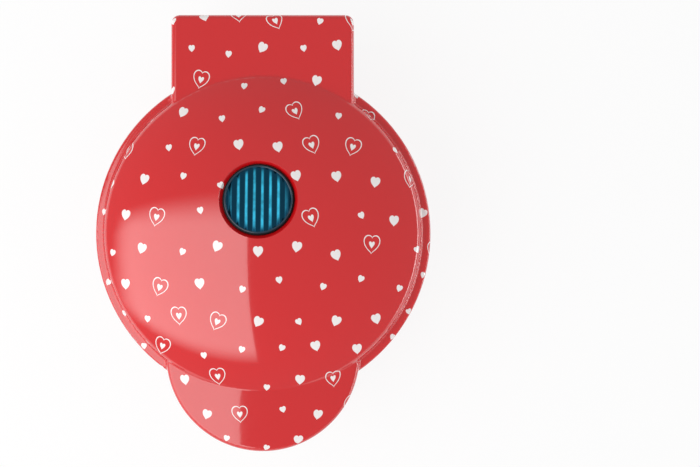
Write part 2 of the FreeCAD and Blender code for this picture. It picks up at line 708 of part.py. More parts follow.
def thermostat():
    """Disc thermostat against the lower plate's back, with two push-on tabs."""
    cap = post(THERMO_R, 0, 0, -PLATE_H - THERMO_CAP_H, -PLATE_H)
    body_z = -PLATE_H - THERMO_CAP_H - THERMO_BODY_H
    body = post(THERMO_R - 1, 0, 0, body_z, -PLATE_H - THERMO_CAP_H)
    tabs = [box(x - TAB_W / 2, x + TAB_W / 2, -TAB_T / 2, TAB_T / 2, body_z - TAB_L, body_z) for x in TAB_X]
    return cap.fuse([body] + tabs).removeSplitter()


def thermostat_clip():
    """Sprung strap that holds the thermostat's cap to the plate."""
    z = -PLATE_H - THERMO_CAP_H
    strap = box(-CLIP_HALF_L, CLIP_HALF_L, -CLIP_HALF_W, CLIP_HALF_W, z - CLIP_T, z)
    leg_places = (-CLIP_HALF_L, CLIP_HALF_L - CLIP_T)
    legs = [box(x, x + CLIP_T, -CLIP_HALF_W, CLIP_HALF_W, z, -PLATE_H) for x in leg_places]
    hole = post(THERMO_R - 1 + FIT / 2, 0, 0, z - CLIP_T - 1, z)
    return strap.fuse(legs).cut(hole).removeSplitter()


def thermal_fuse():
    """One-shot fuse lying on the upper plate's back, between its two stiff wires."""
    z = -PLATE_H - FUSE_R
    body = rod(FUSE_R, -FUSE_HALF_L, FUSE_HALF_L, FUSE_Y, z)
    wire = rod(FUSE_WIRE_R, -2 * FUSE_HALF_L, 2 * FUSE_HALF_L, FUSE_Y, z)
    return body.fuse(wire).removeSplitter()


def terminal_block():
    """Connector block on the bottom cover, with a sunk clamp screw for each lead."""
    floor = BOWL_BOTTOM_Z + COVER_H
    body = box(-TERMINAL_HALF_W, TERMINAL_HALF_W, TERMINAL_Y0, TERMINAL_Y1, floor, TERMINAL_Z)
    middle = (TERMINAL_Y0 + TERMINAL_Y1) / 2
    wells = [post(SCREW_R, x, middle, TERMINAL_Z - SCREW_HEAD_H, TERMINAL_Z) for x in TERMINAL_WELLS]
    return body.cut(wells)


def lead(points):
    """Insulated lead along straight runs, each corner rounded, less where its shorter run is short."""
    edges = []
    start = points[0]
    for before, corner, after in zip(points, points[1:], points[2:]):
        back, ahead = (before - corner), (after - corner)
        reach = min(LEAD_BEND, 0.45 * min(back.Length, ahead.Length))
        leave = corner + back.normalize() * reach
        arrive = corner + ahead.normalize() * reach
        inward = (back + ahead).normalize()
        half = back.getAngle(ahead) / 2
        radius = reach * math.tan(half)
        nearest = corner + inward * (radius / math.sin(half) - radius)
        edges += [line(start, leave), arc(leave, nearest, arrive)]
        start = arrive
    edges.append(line(start, points[-1]))
    path = Part.Wire(edges)
    ring = Part.Wire(Part.makeCircle(LEAD_R, points[0], points[1] - points[0]))
    return path.makePipeShell([ring], True, False)


def element_leg_end(side, z):
    end = math.radians(90 - side * ELEMENT_GAP_DEG / 2)
    return Vector(ELEMENT_R * math.cos(end), LEG_END_Y, z)


def lid_leads():
    """Lead from the hollow hinge bush, up over the plate's edge to the upper element."""
    leg = element_leg_end(1, LID_Z + PLATE_STEP + PLATE_H + SEAT_H)
    run_z = BLOCK_Z - 4
    return lead([
        Vector(LEAD_MEET_X, HINGE_Y, HINGE_Z),
        Vector(LEAD_TURN_X, HINGE_Y, HINGE_Z),
        Vector(LEAD_TURN_X, HINGE_Y, run_z),
        Vector(leg.x + 3.5, HINGE_Y - 7, run_z),
        Vector(leg.x, LEG_END_Y + 12.5, run_z - 0.5),
        Vector(leg.x, LEG_END_Y + 7, leg.z),
        leg,
    ])


def base_leads():
    """Leads of the base: up to the hinge, to both legs of the lower element and to the thermostat."""
    leg_z = BASE_Z - PLATE_STEP - PLATE_H - SEAT_H
    entry_z = (BOWL_BOTTOM_Z + COVER_H + TERMINAL_Z) / 2
    runs = [lead([
        Vector(LEAD_MEET_X - HINGE_GAP, HINGE_Y, HINGE_Z),
        Vector(LEAD_DOWN_X, HINGE_Y, HINGE_Z),
        Vector(LEAD_DOWN_X, HINGE_Y, entry_z),
        Vector(LEAD_DOWN_X, TERMINAL_Y1, entry_z),
    ])]
    for side in (-1, 1):
        leg = element_leg_end(side, leg_z)
        well_x = side * TERMINAL_WELLS[-1]
        runs.append(lead([
            leg,
            Vector(leg.x, LEG_END_Y + 5, leg_z),
            Vector(well_x, TERMINAL_Y0 - 5, entry_z),
            Vector(well_x, TERMINAL_Y0, entry_z),
        ]))
    tab_z = BASE_Z - PLATE_STEP - PLATE_H - THERMO_CAP_H - THERMO_BODY_H - TAB_L / 2
    runs.append(Part.makeCylinder(LEAD_R, TERMINAL_Y0 - TAB_T / 2, Vector(TAB_X[0], TAB_T / 2, tab_z), REAR))
    return Part.makeCompound(runs)


# Indicator, drawn about the Z axis with the dome's surface at z = 0

def indicator_bezel():
    """Dark ring that snaps into the dome, with a ledge for the lens."""
    ring = post(BEZEL_R, 0, 0, BEZEL_LOW, BEZEL_TOP)
    ring = round_level(ring, BEZEL_TOP, BEZEL_ROUND)
    snap = post(LENS_SEAT_R, 0, 0, BEZEL_LOW + 2, BEZEL_LOW + 3)
    above = post(LENS_R + FIT / 2, 0, 0, LENS_LOW, 1)
    below = post(LENS_R + FIT / 2, 0, 0, BEZEL_LOW - 1, LENS_LOW - BEZEL_LEDGE)
    through = post(LENS_R - BEZEL_LEDGE, 0, 0, BEZEL_LOW - 1, 1)
    return ring.fuse(snap).cut([above, below, through]).removeSplitter()


def indicator_lens():
    """Clear lens with upright half-round flutes across its face."""
    disc = post(LENS_R, 0, 0, LENS_LOW, FLUTE_Z)
    rim = post(LENS_R - FIT, 0, 0, FLUTE_Z - 1, BEZEL_TOP)
    pitch = 2 * LENS_R / FLUTES
    flutes = []
    for index in range(FLUTES):
        x = (index - (FLUTES - 1) / 2) * pitch
        ridge = Part.makeCylinder(pitch / 2 - FLUTE_GAP, 2 * LENS_R, Vector(x, -LENS_R, FLUTE_Z), REAR)
        flutes.append(ridge.common(rim))
    return disc.fuse(flutes).removeSplitter()


def lamp_holder():
    """Disc with a cup that holds the lamp behind the lens."""
    top = LENS_LOW - BEZEL_LEDGE
    disc = post(LENS_R, 0, 0, BEZEL_LOW, top)
    cup = post(LAMP_R + WALL, 0, 0, BEZEL_LOW - LAMP_CUP_H, BEZEL_LOW)
    bore = post(LAMP_R + FIT / 2, 0, 0, BEZEL_LOW - LAMP_CUP_H + 1, top)
    return disc.fuse(cup).cut(bore).removeSplitter()


def indicator_lamp():
    """Small glass lamp with a round end."""
    low = BEZEL_LOW - LAMP_CUP_H + 1
    top = LENS_LOW - LAMP_R - FIT
    return post(LAMP_R, 0, 0, low, top).fuse(Part.makeSphere(LAMP_R, Vector(0, 0, top))).removeSplitter()


# Fasteners that sit heads down in a moulding's underside

def hidden_screws(places, z_face, length):
    made = []
    for x, y in places:
        head_top = z_face + SCREW_HEAD_H + FIT
        head = post(SCREW_HEAD_R, x, y, head_top - SCREW_HEAD_H, head_top)
        made.append(head.fuse(post(SCREW_R, x, y, head_top, head_top + length)).removeSplitter())
    return Part.makeCompound(made)


def all_pieces():
    pieces = {
        "lid_cover": lid_cover(),
        "lid_frame": lid_frame(),
        "lid_frame_screws": hidden_screws(FRAME_SCREWS, LID_Z, SCREW_L),
        "indicator_bezel": on_dome(indicator_bezel()),
        "indicator_lens": on_dome(indicator_lens()),
        "lamp_holder": on_dome(lamp_holder()),
        "indicator_lamp": on_dome(indicator_lamp()),
        "upper_plate": in_lid(plate()),
        "upper_element": in_lid(element(ELEMENT_TUBE)),
        "upper_reflector": in_lid(reflector()),
        "upper_plate_screws": in_lid(plate_screws()),
        "thermal_fuse": in_lid(thermal_fuse()),
        "lid_leads": lid_leads(),
        "hinge_pin": hinge_pin(),
        "hinge_bush": hinge_bush(),
        "base_shell": base_shell(),
        "base_cover": base_cover(),
        "base_cover_screws": hidden_screws(COVER_SCREWS, BOWL_BOTTOM_Z, SCREW_L),
        "lower_plate": in_base(plate()),
        "lower_element": in_base(element(ELEMENT_TUBE)),
        "lower_reflector": in_base(reflector()),
        "lower_plate_screws": in_base(plate_screws()),
        "thermostat": in_base(thermostat()),
        "thermostat_clip": in_base(thermostat_clip()),
        "terminal_block": terminal_block(),
        "base_leads": base_leads(),
        "cord_gland": cord_gland(),
    }
    for name, (x, y) in FOOT_PLACES.items():
        pieces[name] = foot(x, y)
    return pieces


def main():
    os.makedirs("parts", exist_ok=True)
    for name, shape in all_pieces().items():
        shape.exportStep("parts/" + name + ".step")
        print(name, len(shape.Solids), "solids", round(shape.Volume), "mm3", shape.isValid())


if __name__ == "__main__":
    main()
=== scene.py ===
# %% [markdown]
# # A mini waffle maker, dressed in Blender
#
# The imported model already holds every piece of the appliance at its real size: the red lid and base, the
# plates, the hinge and all that is inside. This lesson keeps those pieces where they are and gives them
# their looks: smooth gloss on the mouldings, a white heart print on the lid, a fluted blue indicator, coated
# plates, and a studio with the camera straight above.

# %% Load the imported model
import json
import math

import bmesh
import bpy
import numpy as np
from mathutils import Matrix, Vector

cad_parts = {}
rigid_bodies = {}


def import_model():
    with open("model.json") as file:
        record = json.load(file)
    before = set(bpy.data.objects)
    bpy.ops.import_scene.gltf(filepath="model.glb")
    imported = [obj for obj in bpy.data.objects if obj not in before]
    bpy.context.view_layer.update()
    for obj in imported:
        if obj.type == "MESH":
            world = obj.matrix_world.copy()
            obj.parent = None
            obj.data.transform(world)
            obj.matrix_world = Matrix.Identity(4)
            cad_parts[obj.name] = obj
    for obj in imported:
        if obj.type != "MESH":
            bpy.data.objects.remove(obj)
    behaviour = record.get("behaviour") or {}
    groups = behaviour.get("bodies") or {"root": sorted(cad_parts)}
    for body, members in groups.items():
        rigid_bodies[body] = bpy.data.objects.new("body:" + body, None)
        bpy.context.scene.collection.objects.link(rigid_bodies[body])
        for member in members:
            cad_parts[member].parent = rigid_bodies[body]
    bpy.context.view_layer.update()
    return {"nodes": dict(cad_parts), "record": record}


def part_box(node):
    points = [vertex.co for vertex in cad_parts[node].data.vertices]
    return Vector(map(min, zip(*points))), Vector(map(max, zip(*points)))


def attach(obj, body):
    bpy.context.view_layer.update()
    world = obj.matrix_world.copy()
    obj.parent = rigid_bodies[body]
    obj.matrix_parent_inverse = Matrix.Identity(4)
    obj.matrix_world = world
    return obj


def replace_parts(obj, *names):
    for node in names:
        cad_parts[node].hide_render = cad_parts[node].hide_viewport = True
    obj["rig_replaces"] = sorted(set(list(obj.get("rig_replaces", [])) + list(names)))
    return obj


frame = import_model()
MM = 0.001

# %% [markdown]
# ## Shader maths as Python
#
# A pattern such as a heart is a formula, and a formula is easier to read as Python than as a web of nodes.
# `Wire` wraps one output socket; adding or multiplying wires adds the Math nodes. Any other node comes from
# the single method `node`.

# %% A socket that understands arithmetic
class Wire:
    def __init__(self, tree, socket):
        self.tree = tree
        self.socket = socket

    def node(self, kind, settings=(), inputs=(), out=0):
        """Add a node of any kind; settings are set first, inputs may be numbers, colours or wires."""
        made = self.tree.nodes.new(kind)
        for key, value in dict(settings).items():
            setattr(made, key, value)
        for key, value in dict(inputs).items():
            if isinstance(value, Wire):
                self.tree.links.new(value.socket, made.inputs[key])
            else:
                made.inputs[key].default_value = value
        return Wire(self.tree, made.outputs[out])

    def math(self, operation, first, second=0.0):
        return self.node("ShaderNodeMath", {"operation": operation}, {0: first, 1: second})

    def __add__(self, other):
        return self.math("ADD", self, other)

    def __radd__(self, other):
        return self.math("ADD", other, self)

    def __sub__(self, other):
        return self.math("SUBTRACT", self, other)

    def __rsub__(self, other):
        return self.math("SUBTRACT", other, self)

    def __mul__(self, other):
        return self.math("MULTIPLY", self, other)

    def __rmul__(self, other):
        return self.math("MULTIPLY", other, self)

    def __truediv__(self, other):
        return self.math("DIVIDE", self, other)

    def __rtruediv__(self, other):
        return self.math("DIVIDE", other, self)

    def __abs__(self):
        return self.math("ABSOLUTE", self)

    def floor(self):
        return self.math("FLOOR", self)

    def root(self):
        return self.math("SQRT", self)

    def cosine(self):
        return self.math("COSINE", self)

    def sine(self):
        return self.math("SINE", self)

    def above(self, other):
        return self.math("GREATER_THAN", self, other)

    def larger(self, other):
        return self.math("MAXIMUM", self, other)

    def smooth_step(self, low, high):
        """0 below low, 1 above high, with a soft edge between them."""
        return self.node("ShaderNodeMapRange", {"interpolation_type": "SMOOTHSTEP"},
                         {"Value": self, "From Min": low, "From Max": high})

    def mix(self, low, high):
        """A colour that goes from low to high as this wire goes from 0 to 1."""
        return self.node("ShaderNodeMix", {"data_type": "RGBA"}, {0: self, 6: low, 7: high}, out=2)

    def axes(self):
        parts = self.node("ShaderNodeSeparateXYZ", (), {0: self})
        outputs = parts.socket.node.outputs
        return [Wire(self.tree, outputs[i]) for i in range(3)]

    def scaled(self, factor):
        return self.node("ShaderNodeVectorMath", {"operation": "SCALE"}, {0: self, "Scale": factor})


def new_finish(name, **constants):
    """A material, its Principled shader and the piece's own coordinates in millimetres."""
    material = bpy.data.materials.new(name)
    material.use_nodes = True
    tree = material.node_tree
    shader = tree.nodes["Principled BSDF"]
    for socket, value in constants.items():
        shader.inputs[socket.replace("_", " ")].default_value = value
    coords = Wire(tree, shader.outputs[0]).node("ShaderNodeTexCoord", out="Object")
    return material, shader, coords.scaled(1 / MM)


def connect(shader, socket, wire):
    wire.tree.links.new(wire.socket, shader.inputs[socket])


def noise(where, scale, detail=2.0):
    return where.node("ShaderNodeTexNoise", (), {"Vector": where, "Scale": scale, "Detail": detail})


def bump(where, height, strength, distance):
    sizes = {"Height": height, "Strength": strength, "Distance": distance * MM}
    return where.node("ShaderNodeBump", (), sizes)


print("shader helpers ready")

# %% [markdown]
# ## Red gloss plastic with a heart print
#
# The mouldings are injection-moulded red plastic with a high gloss, and the lid is printed all over with
# small white hearts. The print could be an image, but a formula stays sharp at any size: the lid is laid out
# flat around its middle, cut into staggered cells, and each cell draws one plain heart with its own turn,
# place and size from a fixed noise.

# %% The flat layout of the lid and its hearts
RED = (0.65, 0.007, 0.010, 1.0)
PRINT_WHITE = (0.92, 0.88, 0.87, 1.0)
SHOULDER_DROP = 53.0     # below this height the print runs on down the walls
PRINT_FOOT = 37.0        # and here it stops, just above the seam
CELL_W = 14.0            # one heart to a cell
CELL_H = 12.2
WANDER = 4.2             # a heart's place varies over this, about the middle of its cell
TURN = 1.0               # and its turn over this, about upright, in radians
TINY = 1.15              # half widths
MEDIUM = 1.75
LARGE = 3.1
MEDIUM_FROM = 0.46       # a cell's draw above this holds a medium heart
LARGE_FROM = 0.76        # and above this a large outlined one
LOBE_RISE = 0.62         # how far the lobes rise beside the dip
FILLED_EDGE = (0.94, 1.06)      # soft edges, in half widths
SMALL_HEART_EDGE = (0.30, 0.36)
LINE_MIDDLE = 0.92
LINE_EDGE = (0.035, 0.07)


def lid_layout(place):
    """Flat coordinates that follow the lid outwards from its middle and on down its walls."""
    x, y, z = place.axes()
    radius = (x * x + y * y).root()
    drop = (SHOULDER_DROP - z).larger(0.0)
    spread = drop / (radius + 1.0) + 1.0
    return x * spread, y * spread


def heart_cells(u, v):
    """Each cell's own heart: coordinates in half widths, and whether it is a large one."""
    row = (v / CELL_H).floor()
    along = u / CELL_W + row * 0.5
    column = along.floor()
    cell = u.node("ShaderNodeCombineXYZ", (), {0: column, 1: row})

    def fixed_noise(out):
        return u.node("ShaderNodeTexWhiteNoise", {"noise_dimensions": "2D"}, {"Vector": cell}, out)

    slide, lift, turn = fixed_noise(1).axes()
    draw = fixed_noise(0)
    large = draw.above(LARGE_FROM)
    size = draw.above(MEDIUM_FROM) * (MEDIUM - TINY) + large * (LARGE - MEDIUM) + TINY
    dx = (along - column - 0.5) * CELL_W + (slide - 0.5) * WANDER
    dy = (v / CELL_H - row - 0.5) * CELL_H + (lift - 0.5) * WANDER
    angle = (turn - 0.5) * TURN
    across = (dx * angle.cosine() + dy * angle.sine()) / size
    upright = (dy * angle.cosine() - dx * angle.sine()) / size
    return across, upright, large


def heart_print(place):
    """1 where the lid is printed white: tiny and medium filled hearts, and large ones drawn as an outline."""
    u, v = lid_layout(place)
    across, upright, large = heart_cells(u, v)
    half = abs(across)
    lean = upright - LOBE_RISE * half.root()
    field = (half * half + lean * lean).root()
    filled = 1.0 - field.smooth_step(*FILLED_EDGE)
    line = 1.0 - abs(field - LINE_MIDDLE).smooth_step(*LINE_EDGE)
    small = 1.0 - field.smooth_step(*SMALL_HEART_EDGE)
    outlined = line.larger(small)
    height = place.axes()[2]
    return (large * outlined + (1.0 - large) * filled) * height.above(PRINT_FOOT)


def darker(colour, share):
    return [c * share for c in colour[:3]] + [1.0]


def red_gloss(name, printed):
    material, shader, place = new_finish(name, Coat_Weight=1.0, Coat_Roughness=0.03)
    cloud = noise(place, 0.03)
    if printed:
        ink = heart_print(place)
        connect(shader, "Base Color", ink.mix(RED, PRINT_WHITE))
        connect(shader, "Roughness", cloud * 0.03 + ink * 0.05 + 0.075)
    else:
        connect(shader, "Base Color", cloud.smooth_step(0.3, 0.7).mix(RED, darker(RED, 0.97)))
        connect(shader, "Roughness", cloud * 0.03 + 0.085)
    peel = noise(place, 0.9, 1.0)
    connect(shader, "Normal", bump(place, peel, 0.05, 0.02))
    return material


lid_red = red_gloss("printed_red_gloss", True)
base_red = red_gloss("plain_red_gloss", False)
print("red finishes:", lid_red.name, base_red.name)

# %% [markdown]
# ## The other finishes
#
# Behind the red are a dark satin plastic, a coated cast aluminium, a few metals, rubber and the pale moulded
# pieces of the wiring. Flat colours would do from afar, but close up they look drawn. One short function for
# each kind of surface gives it the small unevenness of the real one: speckle in the coating, streaks on
# metal, a fine grain on plastic and rubber.

# %% Plastics, rubber and metals
def grained(name, colour, roughness, grain, depth, **constants):
    """A moulded surface with a fine grain, a little lighter on the high points."""
    material, shader, place = new_finish(name, **constants)
    texture = noise(place, grain, 3.0)
    lighter = [min(c * 1.35 + 0.004, 1.0) for c in colour[:3]] + [1.0]
    connect(shader, "Base Color", texture.smooth_step(0.35, 0.75).mix(colour, lighter))
    connect(shader, "Roughness", texture * 0.18 + (roughness - 0.09))
    connect(shader, "Normal", bump(place, texture, 0.35, depth))
    return material


def coated_plate():
    """Non-stick coating: near black, with fine pale speckles in it."""
    material, shader, place = new_finish("nonstick_coating", Specular_IOR_Level=0.5)
    speckle = noise(place, 5.5, 1.0).smooth_step(0.66, 0.72)
    skin = noise(place, 1.6, 3.0)
    connect(shader, "Base Color", speckle.mix((0.020, 0.020, 0.022, 1.0), (0.085, 0.085, 0.09, 1.0)))
    connect(shader, "Roughness", skin * 0.2 + 0.30)
    connect(shader, "Normal", bump(place, skin, 0.25, 0.03))
    return material


def streaked_metal(name, colour, roughness, stretch):
    """Metal with fine streaks along one axis, from drawing, pressing or turning."""
    material, shader, place = new_finish(name, Metallic=1.0)
    drawn = place.node("ShaderNodeMapping", (), {"Vector": place, "Scale": stretch})
    streak = noise(drawn, 1.0, 3.0)
    connect(shader, "Base Color", streak.smooth_step(0.3, 0.7).mix(darker(colour, 0.72), colour))
    connect(shader, "Roughness", streak * 0.2 + (roughness - 0.1))
    connect(shader, "Normal", bump(place, streak, 0.2, 0.01))
    return material


finishes = {
    "red_gloss": lid_red,
    "red_base": base_red,
    "black_plastic": grained("black_satin_plastic", (0.004, 0.004, 0.005, 1.0), 0.38, 2.4, 0.02,
                             Specular_IOR_Level=0.14),
    "nonstick": coated_plate(),
    "element_steel": streaked_metal("heated_steel_tube", (0.42, 0.39, 0.35, 1.0), 0.38, (0.4, 0.4, 3.0)),
    "pressed_steel": streaked_metal("pressed_steel", (0.62, 0.62, 0.61, 1.0), 0.34, (0.15, 2.5, 2.5)),
    "steel": streaked_metal("plated_steel", (0.66, 0.66, 0.65, 1.0), 0.30, (3.0, 3.0, 0.3)),
    "cream_plastic": grained("pale_phenolic", (0.62, 0.58, 0.48, 1.0), 0.5, 1.8, 0.02),
    "lead_sleeve": grained("glass_fibre_sleeve", (0.66, 0.64, 0.58, 1.0), 0.7, 3.5, 0.05),
    "rubber": grained("black_rubber", (0.018, 0.018, 0.019, 1.0), 0.62, 2.0, 0.03),
}
print("finishes:", sorted(finishes))

# %% [markdown]
# ## The indicator's finishes
#
# The lamp shines through a blue lens with upright flutes inside a smooth rim, so that each flute shows a
# bright line and the lens stays dark between them. Clear plastic over a lit lamp could do it, but at few
# samples it renders dim and grainy. Instead the lines are painted: a painted highlight in lighter blue on the
# flank of each flute that faces the light, and within it a painted glow of emission for the lamp's light.

# %% Fluted blue, deep blue rim and lamp glass
FLUTE_PITCH = 2.84
LENS_R = 12.2            # over its rounded rim
LENS_Y = 12.2            # the lens's middle, towards the hinge
NAVY = (0.010, 0.075, 0.135, 1.0)
# painted highlight: the lighter blue of each flute's flank that faces the light
PAINTED_HIGHLIGHT_BLUE = (0.028, 0.25, 0.37, 1.0)
LAMP_GLOW = (0.035, 0.40, 0.60, 1.0)     # the lit lamp, seen along each flute
LAMP_HALF = 7.4          # the lamp's light thins out beyond this, either side of the middle
UNLIT = (0.0, 0.0, 0.0, 1.0)
PAINTED_HIGHLIGHT_EDGE = (0.1, 0.6)         # soft edges of a painted highlight line and of the painted glow within it, on the flutes' wave
GLOW_EDGE = (0.45, 0.95)
DIM_FROM = 0.72          # the painted highlight lines end softly between these shares of the lens's radius
DARK_FROM = 0.93


def fluted_blue_painted_highlight():
    material, shader, place = new_finish("fluted_blue_painted_highlight", Metallic=1.0)
    x, y = place.axes()[:2]
    phase = x * (2 * math.pi / FLUTE_PITCH)
    facing = 0.0 - phase.cosine()
    # painted highlight: the flank of each flute that faces the light
    painted_highlight = facing.smooth_step(*PAINTED_HIGHLIGHT_EDGE)
    core = facing.smooth_step(*GLOW_EDGE)
    from_middle = (x * x + (y - LENS_Y) * (y - LENS_Y)).root()
    inner = 1.0 - from_middle.smooth_step(DIM_FROM * LENS_R, DARK_FROM * LENS_R)
    lit = inner * (1.0 - abs(x).smooth_step(LAMP_HALF, LENS_R))
    depth = noise(place, 0.3, 2.0).smooth_step(0.25, 0.7)
    # painted highlight in the base colour, fading out towards the rim
    connect(shader, "Base Color", (painted_highlight * inner * (depth * 0.5 + 0.5)).mix(NAVY, PAINTED_HIGHLIGHT_BLUE))
    connect(shader, "Roughness", depth * 0.06 + 0.10)
    # painted glow: emission along each flute, standing in for the lamp's light
    connect(shader, "Emission Color", (core * lit * (depth * 0.6 + 0.4)).mix(UNLIT, LAMP_GLOW))
    shader.inputs["Emission Strength"].default_value = 1.0
    return material


def deep_blue():
    material, shader, place = new_finish("deep_blue_gloss", Coat_Weight=0.3, Coat_Roughness=0.04)
    shader.inputs["Base Color"].default_value = (0.005, 0.030, 0.055, 1.0)
    connect(shader, "Roughness", noise(place, 0.3) * 0.06 + 0.06)
    return material


finishes["lens_blue"] = fluted_blue_painted_highlight()
finishes["lamp_glass"] = grained("lamp_glass", (0.55, 0.30, 0.20, 1.0), 0.2, 1.2, 0.005)
rim_blue = deep_blue()
print("lens finishes ready")

# %% [markdown]
# ## Smooth skins for the mouldings
#
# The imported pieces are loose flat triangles. Gloss shows every one of them, so each visible piece gets a
# skin: a copy with its points joined, its creases kept sharp and its normals weighted by area, which keeps
# flat faces flat beside their rounded edges. The crown of the lid is a true sphere, so there the normals are
# worked out from a sphere fitted to the points, and reflections run across it without a ripple.

# %% Make the skins
CREASE = math.radians(30)
JOIN = 1e-6
FLAT_WEIGHT = 80         # how far large faces rule the normals


def joined_copy(node):
    """A mesh like the node's, with shared points, smooth faces and sharp creases."""
    mesh = frame["nodes"][node].data.copy()
    for extra in [a.name for a in mesh.attributes if a.name == "custom_normal"]:
        mesh.attributes.remove(mesh.attributes[extra])
    work = bmesh.new()
    work.from_mesh(mesh)
    bmesh.ops.remove_doubles(work, verts=work.verts, dist=JOIN)
    for facet in work.faces:
        facet.smooth = True
    work.to_mesh(mesh)
    work.free()
    mesh.set_sharp_from_angle(angle=CREASE)
    return mesh


def weighted(name, mesh):
    """A new object whose normals follow its larger faces."""
    rough = bpy.data.objects.new(name + "_rough", mesh)
    bpy.context.scene.collection.objects.link(rough)
    settings = rough.modifiers.new("weight", "WEIGHTED_NORMAL")
    settings.keep_sharp = True
    settings.weight = FLAT_WEIGHT
    ready = bpy.data.meshes.new_from_object(rough.evaluated_get(bpy.context.evaluated_depsgraph_get()))
    bpy.data.objects.remove(rough)
    piece = bpy.data.objects.new(name, ready)
    bpy.context.scene.collection.objects.link(piece)
    return piece


def slot_of(node):
    return next(s["material_slot"] for s in frame["record"]["subparts"] if s["node"] == node)


def body_of(node):
    return next(b for b, nodes in frame["record"]["behaviour"]["bodies"].items() if node in nodes)


def stand_for(piece, node, finish):
    """Give a piece its finish and put it in the place of a node."""
    piece.data.materials.clear()
    piece.data.materials.append(finish)
    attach(piece, body_of(node))
    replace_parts(piece, node)
    slot_of(node)


def skin(node):
    piece = weighted(node + "_skin", joined_copy(node))
    stand_for(piece, node, finishes[slot_of(node)])
    return piece


SKINNED = ["lid_cover", "lid_frame", "indicator_bezel", "base_shell", "base_cover", "upper_plate",
           "lower_plate", "cord_gland", "hinge_pin", "hinge_bush", "lamp_holder"]
SKINNED += [node for node in frame["nodes"] if node.startswith("foot_")]
skins = {node: skin(node) for node in SKINNED}
print("skins:", len(skins), "largest:", max(len(s.data.polygons) for s in skins.values()), "faces")

# %% True normals on the crown
CROWN_FOOT = 0.0575      # metres; the crown lies above this
CROWN_SLACK = 0.00004    # and its points lie this near to the sphere
INNERMOST = 0.4          # points nearer to the middle, beside the lens's seat, aren't fitted
FACING_UP = 0.5          # least upward part of an outer point's normal
NEARLY_TRUE = 0.97       # a normal is set only where it is already this near to the sphere's


def fit_sphere(points):
    """Centre and radius of the sphere that passes nearest to the points."""
    rows = np.c_[2 * points, np.ones(len(points))]
    solved = np.linalg.lstsq(rows, (points ** 2).sum(1), rcond=None)[0]
    centre = solved[:3]
    return centre, math.sqrt(solved[3] + (centre ** 2).sum())


def true_crown(piece, lowest, tolerance):
    mesh = piece.data
    places = np.array([v.co for v in mesh.vertices])
    radius = np.hypot(places[:, 0], places[:, 1])
    normals = np.array([v.normal for v in mesh.vertices])
    outer = (places[:, 2] > lowest) & (normals[:, 2] > FACING_UP)
    widest = radius[outer].max()
    sample = outer & (radius > INNERMOST * widest)
    centre, size = fit_sphere(places[sample])
    from_centre = places - centre
    distance = np.linalg.norm(from_centre, axis=1)
    on_crown = outer & (abs(distance - size) < tolerance)
    corners = np.array([n.vector for n in mesh.corner_normals])
    owners = np.array([loop.vertex_index for loop in mesh.loops])
    true = from_centre / distance[:, None]
    turn = on_crown[owners] & ((corners * true[owners]).sum(1) > NEARLY_TRUE)
    corners[turn] = true[owners][turn]
    mesh.normals_split_custom_set(corners.tolist())
    print("crown radius", round(size / MM, 2), "mm;", int(turn.sum()), "corner normals set")


true_crown(skins["lid_cover"], CROWN_FOOT, CROWN_SLACK)

# %% [markdown]
# ## Shapes grown by rule
#
# Flutes and screws repeat. They could be modelled one by one, but a small tree of geometry nodes makes them
# from a few named sizes, and a change of size then needs no modelling. The helpers here open a tree, close it
# and turn what it makes into one plain mesh.

# %% Trees with named inputs
def new_tree(name, sizes):
    """A tree with a geometry input, a number input for each size and a finish; returns its input wires."""
    tree = bpy.data.node_groups.new(name, "GeometryNodeTree")
    tree.interface.new_socket("Start", in_out="INPUT", socket_type="NodeSocketGeometry")
    for size in sizes:
        tree.interface.new_socket(size, in_out="INPUT", socket_type="NodeSocketFloat")
    tree.interface.new_socket("Finish", in_out="INPUT", socket_type="NodeSocketMaterial")
    tree.interface.new_socket("Made", in_out="OUTPUT", socket_type="NodeSocketGeometry")
    entry = tree.nodes.new("NodeGroupInput")
    return {socket.name: Wire(tree, socket) for socket in entry.outputs if socket.name}


def together(*shapes):
    joint = shapes[0].tree.nodes.new("GeometryNodeJoinGeometry")
    for shape in shapes:
        shape.tree.links.new(shape.socket, joint.inputs[0])
    return Wire(shapes[0].tree, joint.outputs[0])


def close_tree(shape, given):
    """End a tree with real, smooth geometry that has its finish."""
    real = shape.node("GeometryNodeRealizeInstances", (), {0: shape})
    smooth = real.node("GeometryNodeSetShadeSmooth", (), {0: real})
    done = smooth.node("GeometryNodeSetMaterial", (), {0: smooth, "Material": given["Finish"]})
    leave = done.tree.nodes.new("NodeGroupOutput")
    done.tree.links.new(done.socket, leave.inputs[0])
    return done.tree


def grow(name, tree, start, place=Matrix(), **values):
    """The plain mesh that a tree makes from a starting mesh, moved to its place."""
    seed = bpy.data.objects.new(name + "_seed", start)
    bpy.context.scene.collection.objects.link(seed)
    modifier = seed.modifiers.new("grow", "NODES")
    modifier.node_group = tree
    for item in tree.interface.items_tree:
        if item.in_out == "INPUT" and item.name in values:
            modifier[item.identifier] = values[item.name]
    ready = bpy.data.meshes.new_from_object(seed.evaluated_get(bpy.context.evaluated_depsgraph_get()))
    bpy.data.objects.remove(seed)
    ready.transform(place)
    ready.set_sharp_from_angle(angle=CREASE)
    piece = bpy.data.objects.new(name, ready)
    bpy.context.scene.collection.objects.link(piece)
    return piece


# %% [markdown]
# ## The fluted lens
#
# The indicator's lens is a disc with upright flutes in a rounded rim that lies on the bezel. The flutes
# follow a rule, so a tree presses a grid into a wave and draws its rows in to a circle. The rim is the same
# all round, so a short function turns its profile about the axis. Both are then tilted to sit on the dome.

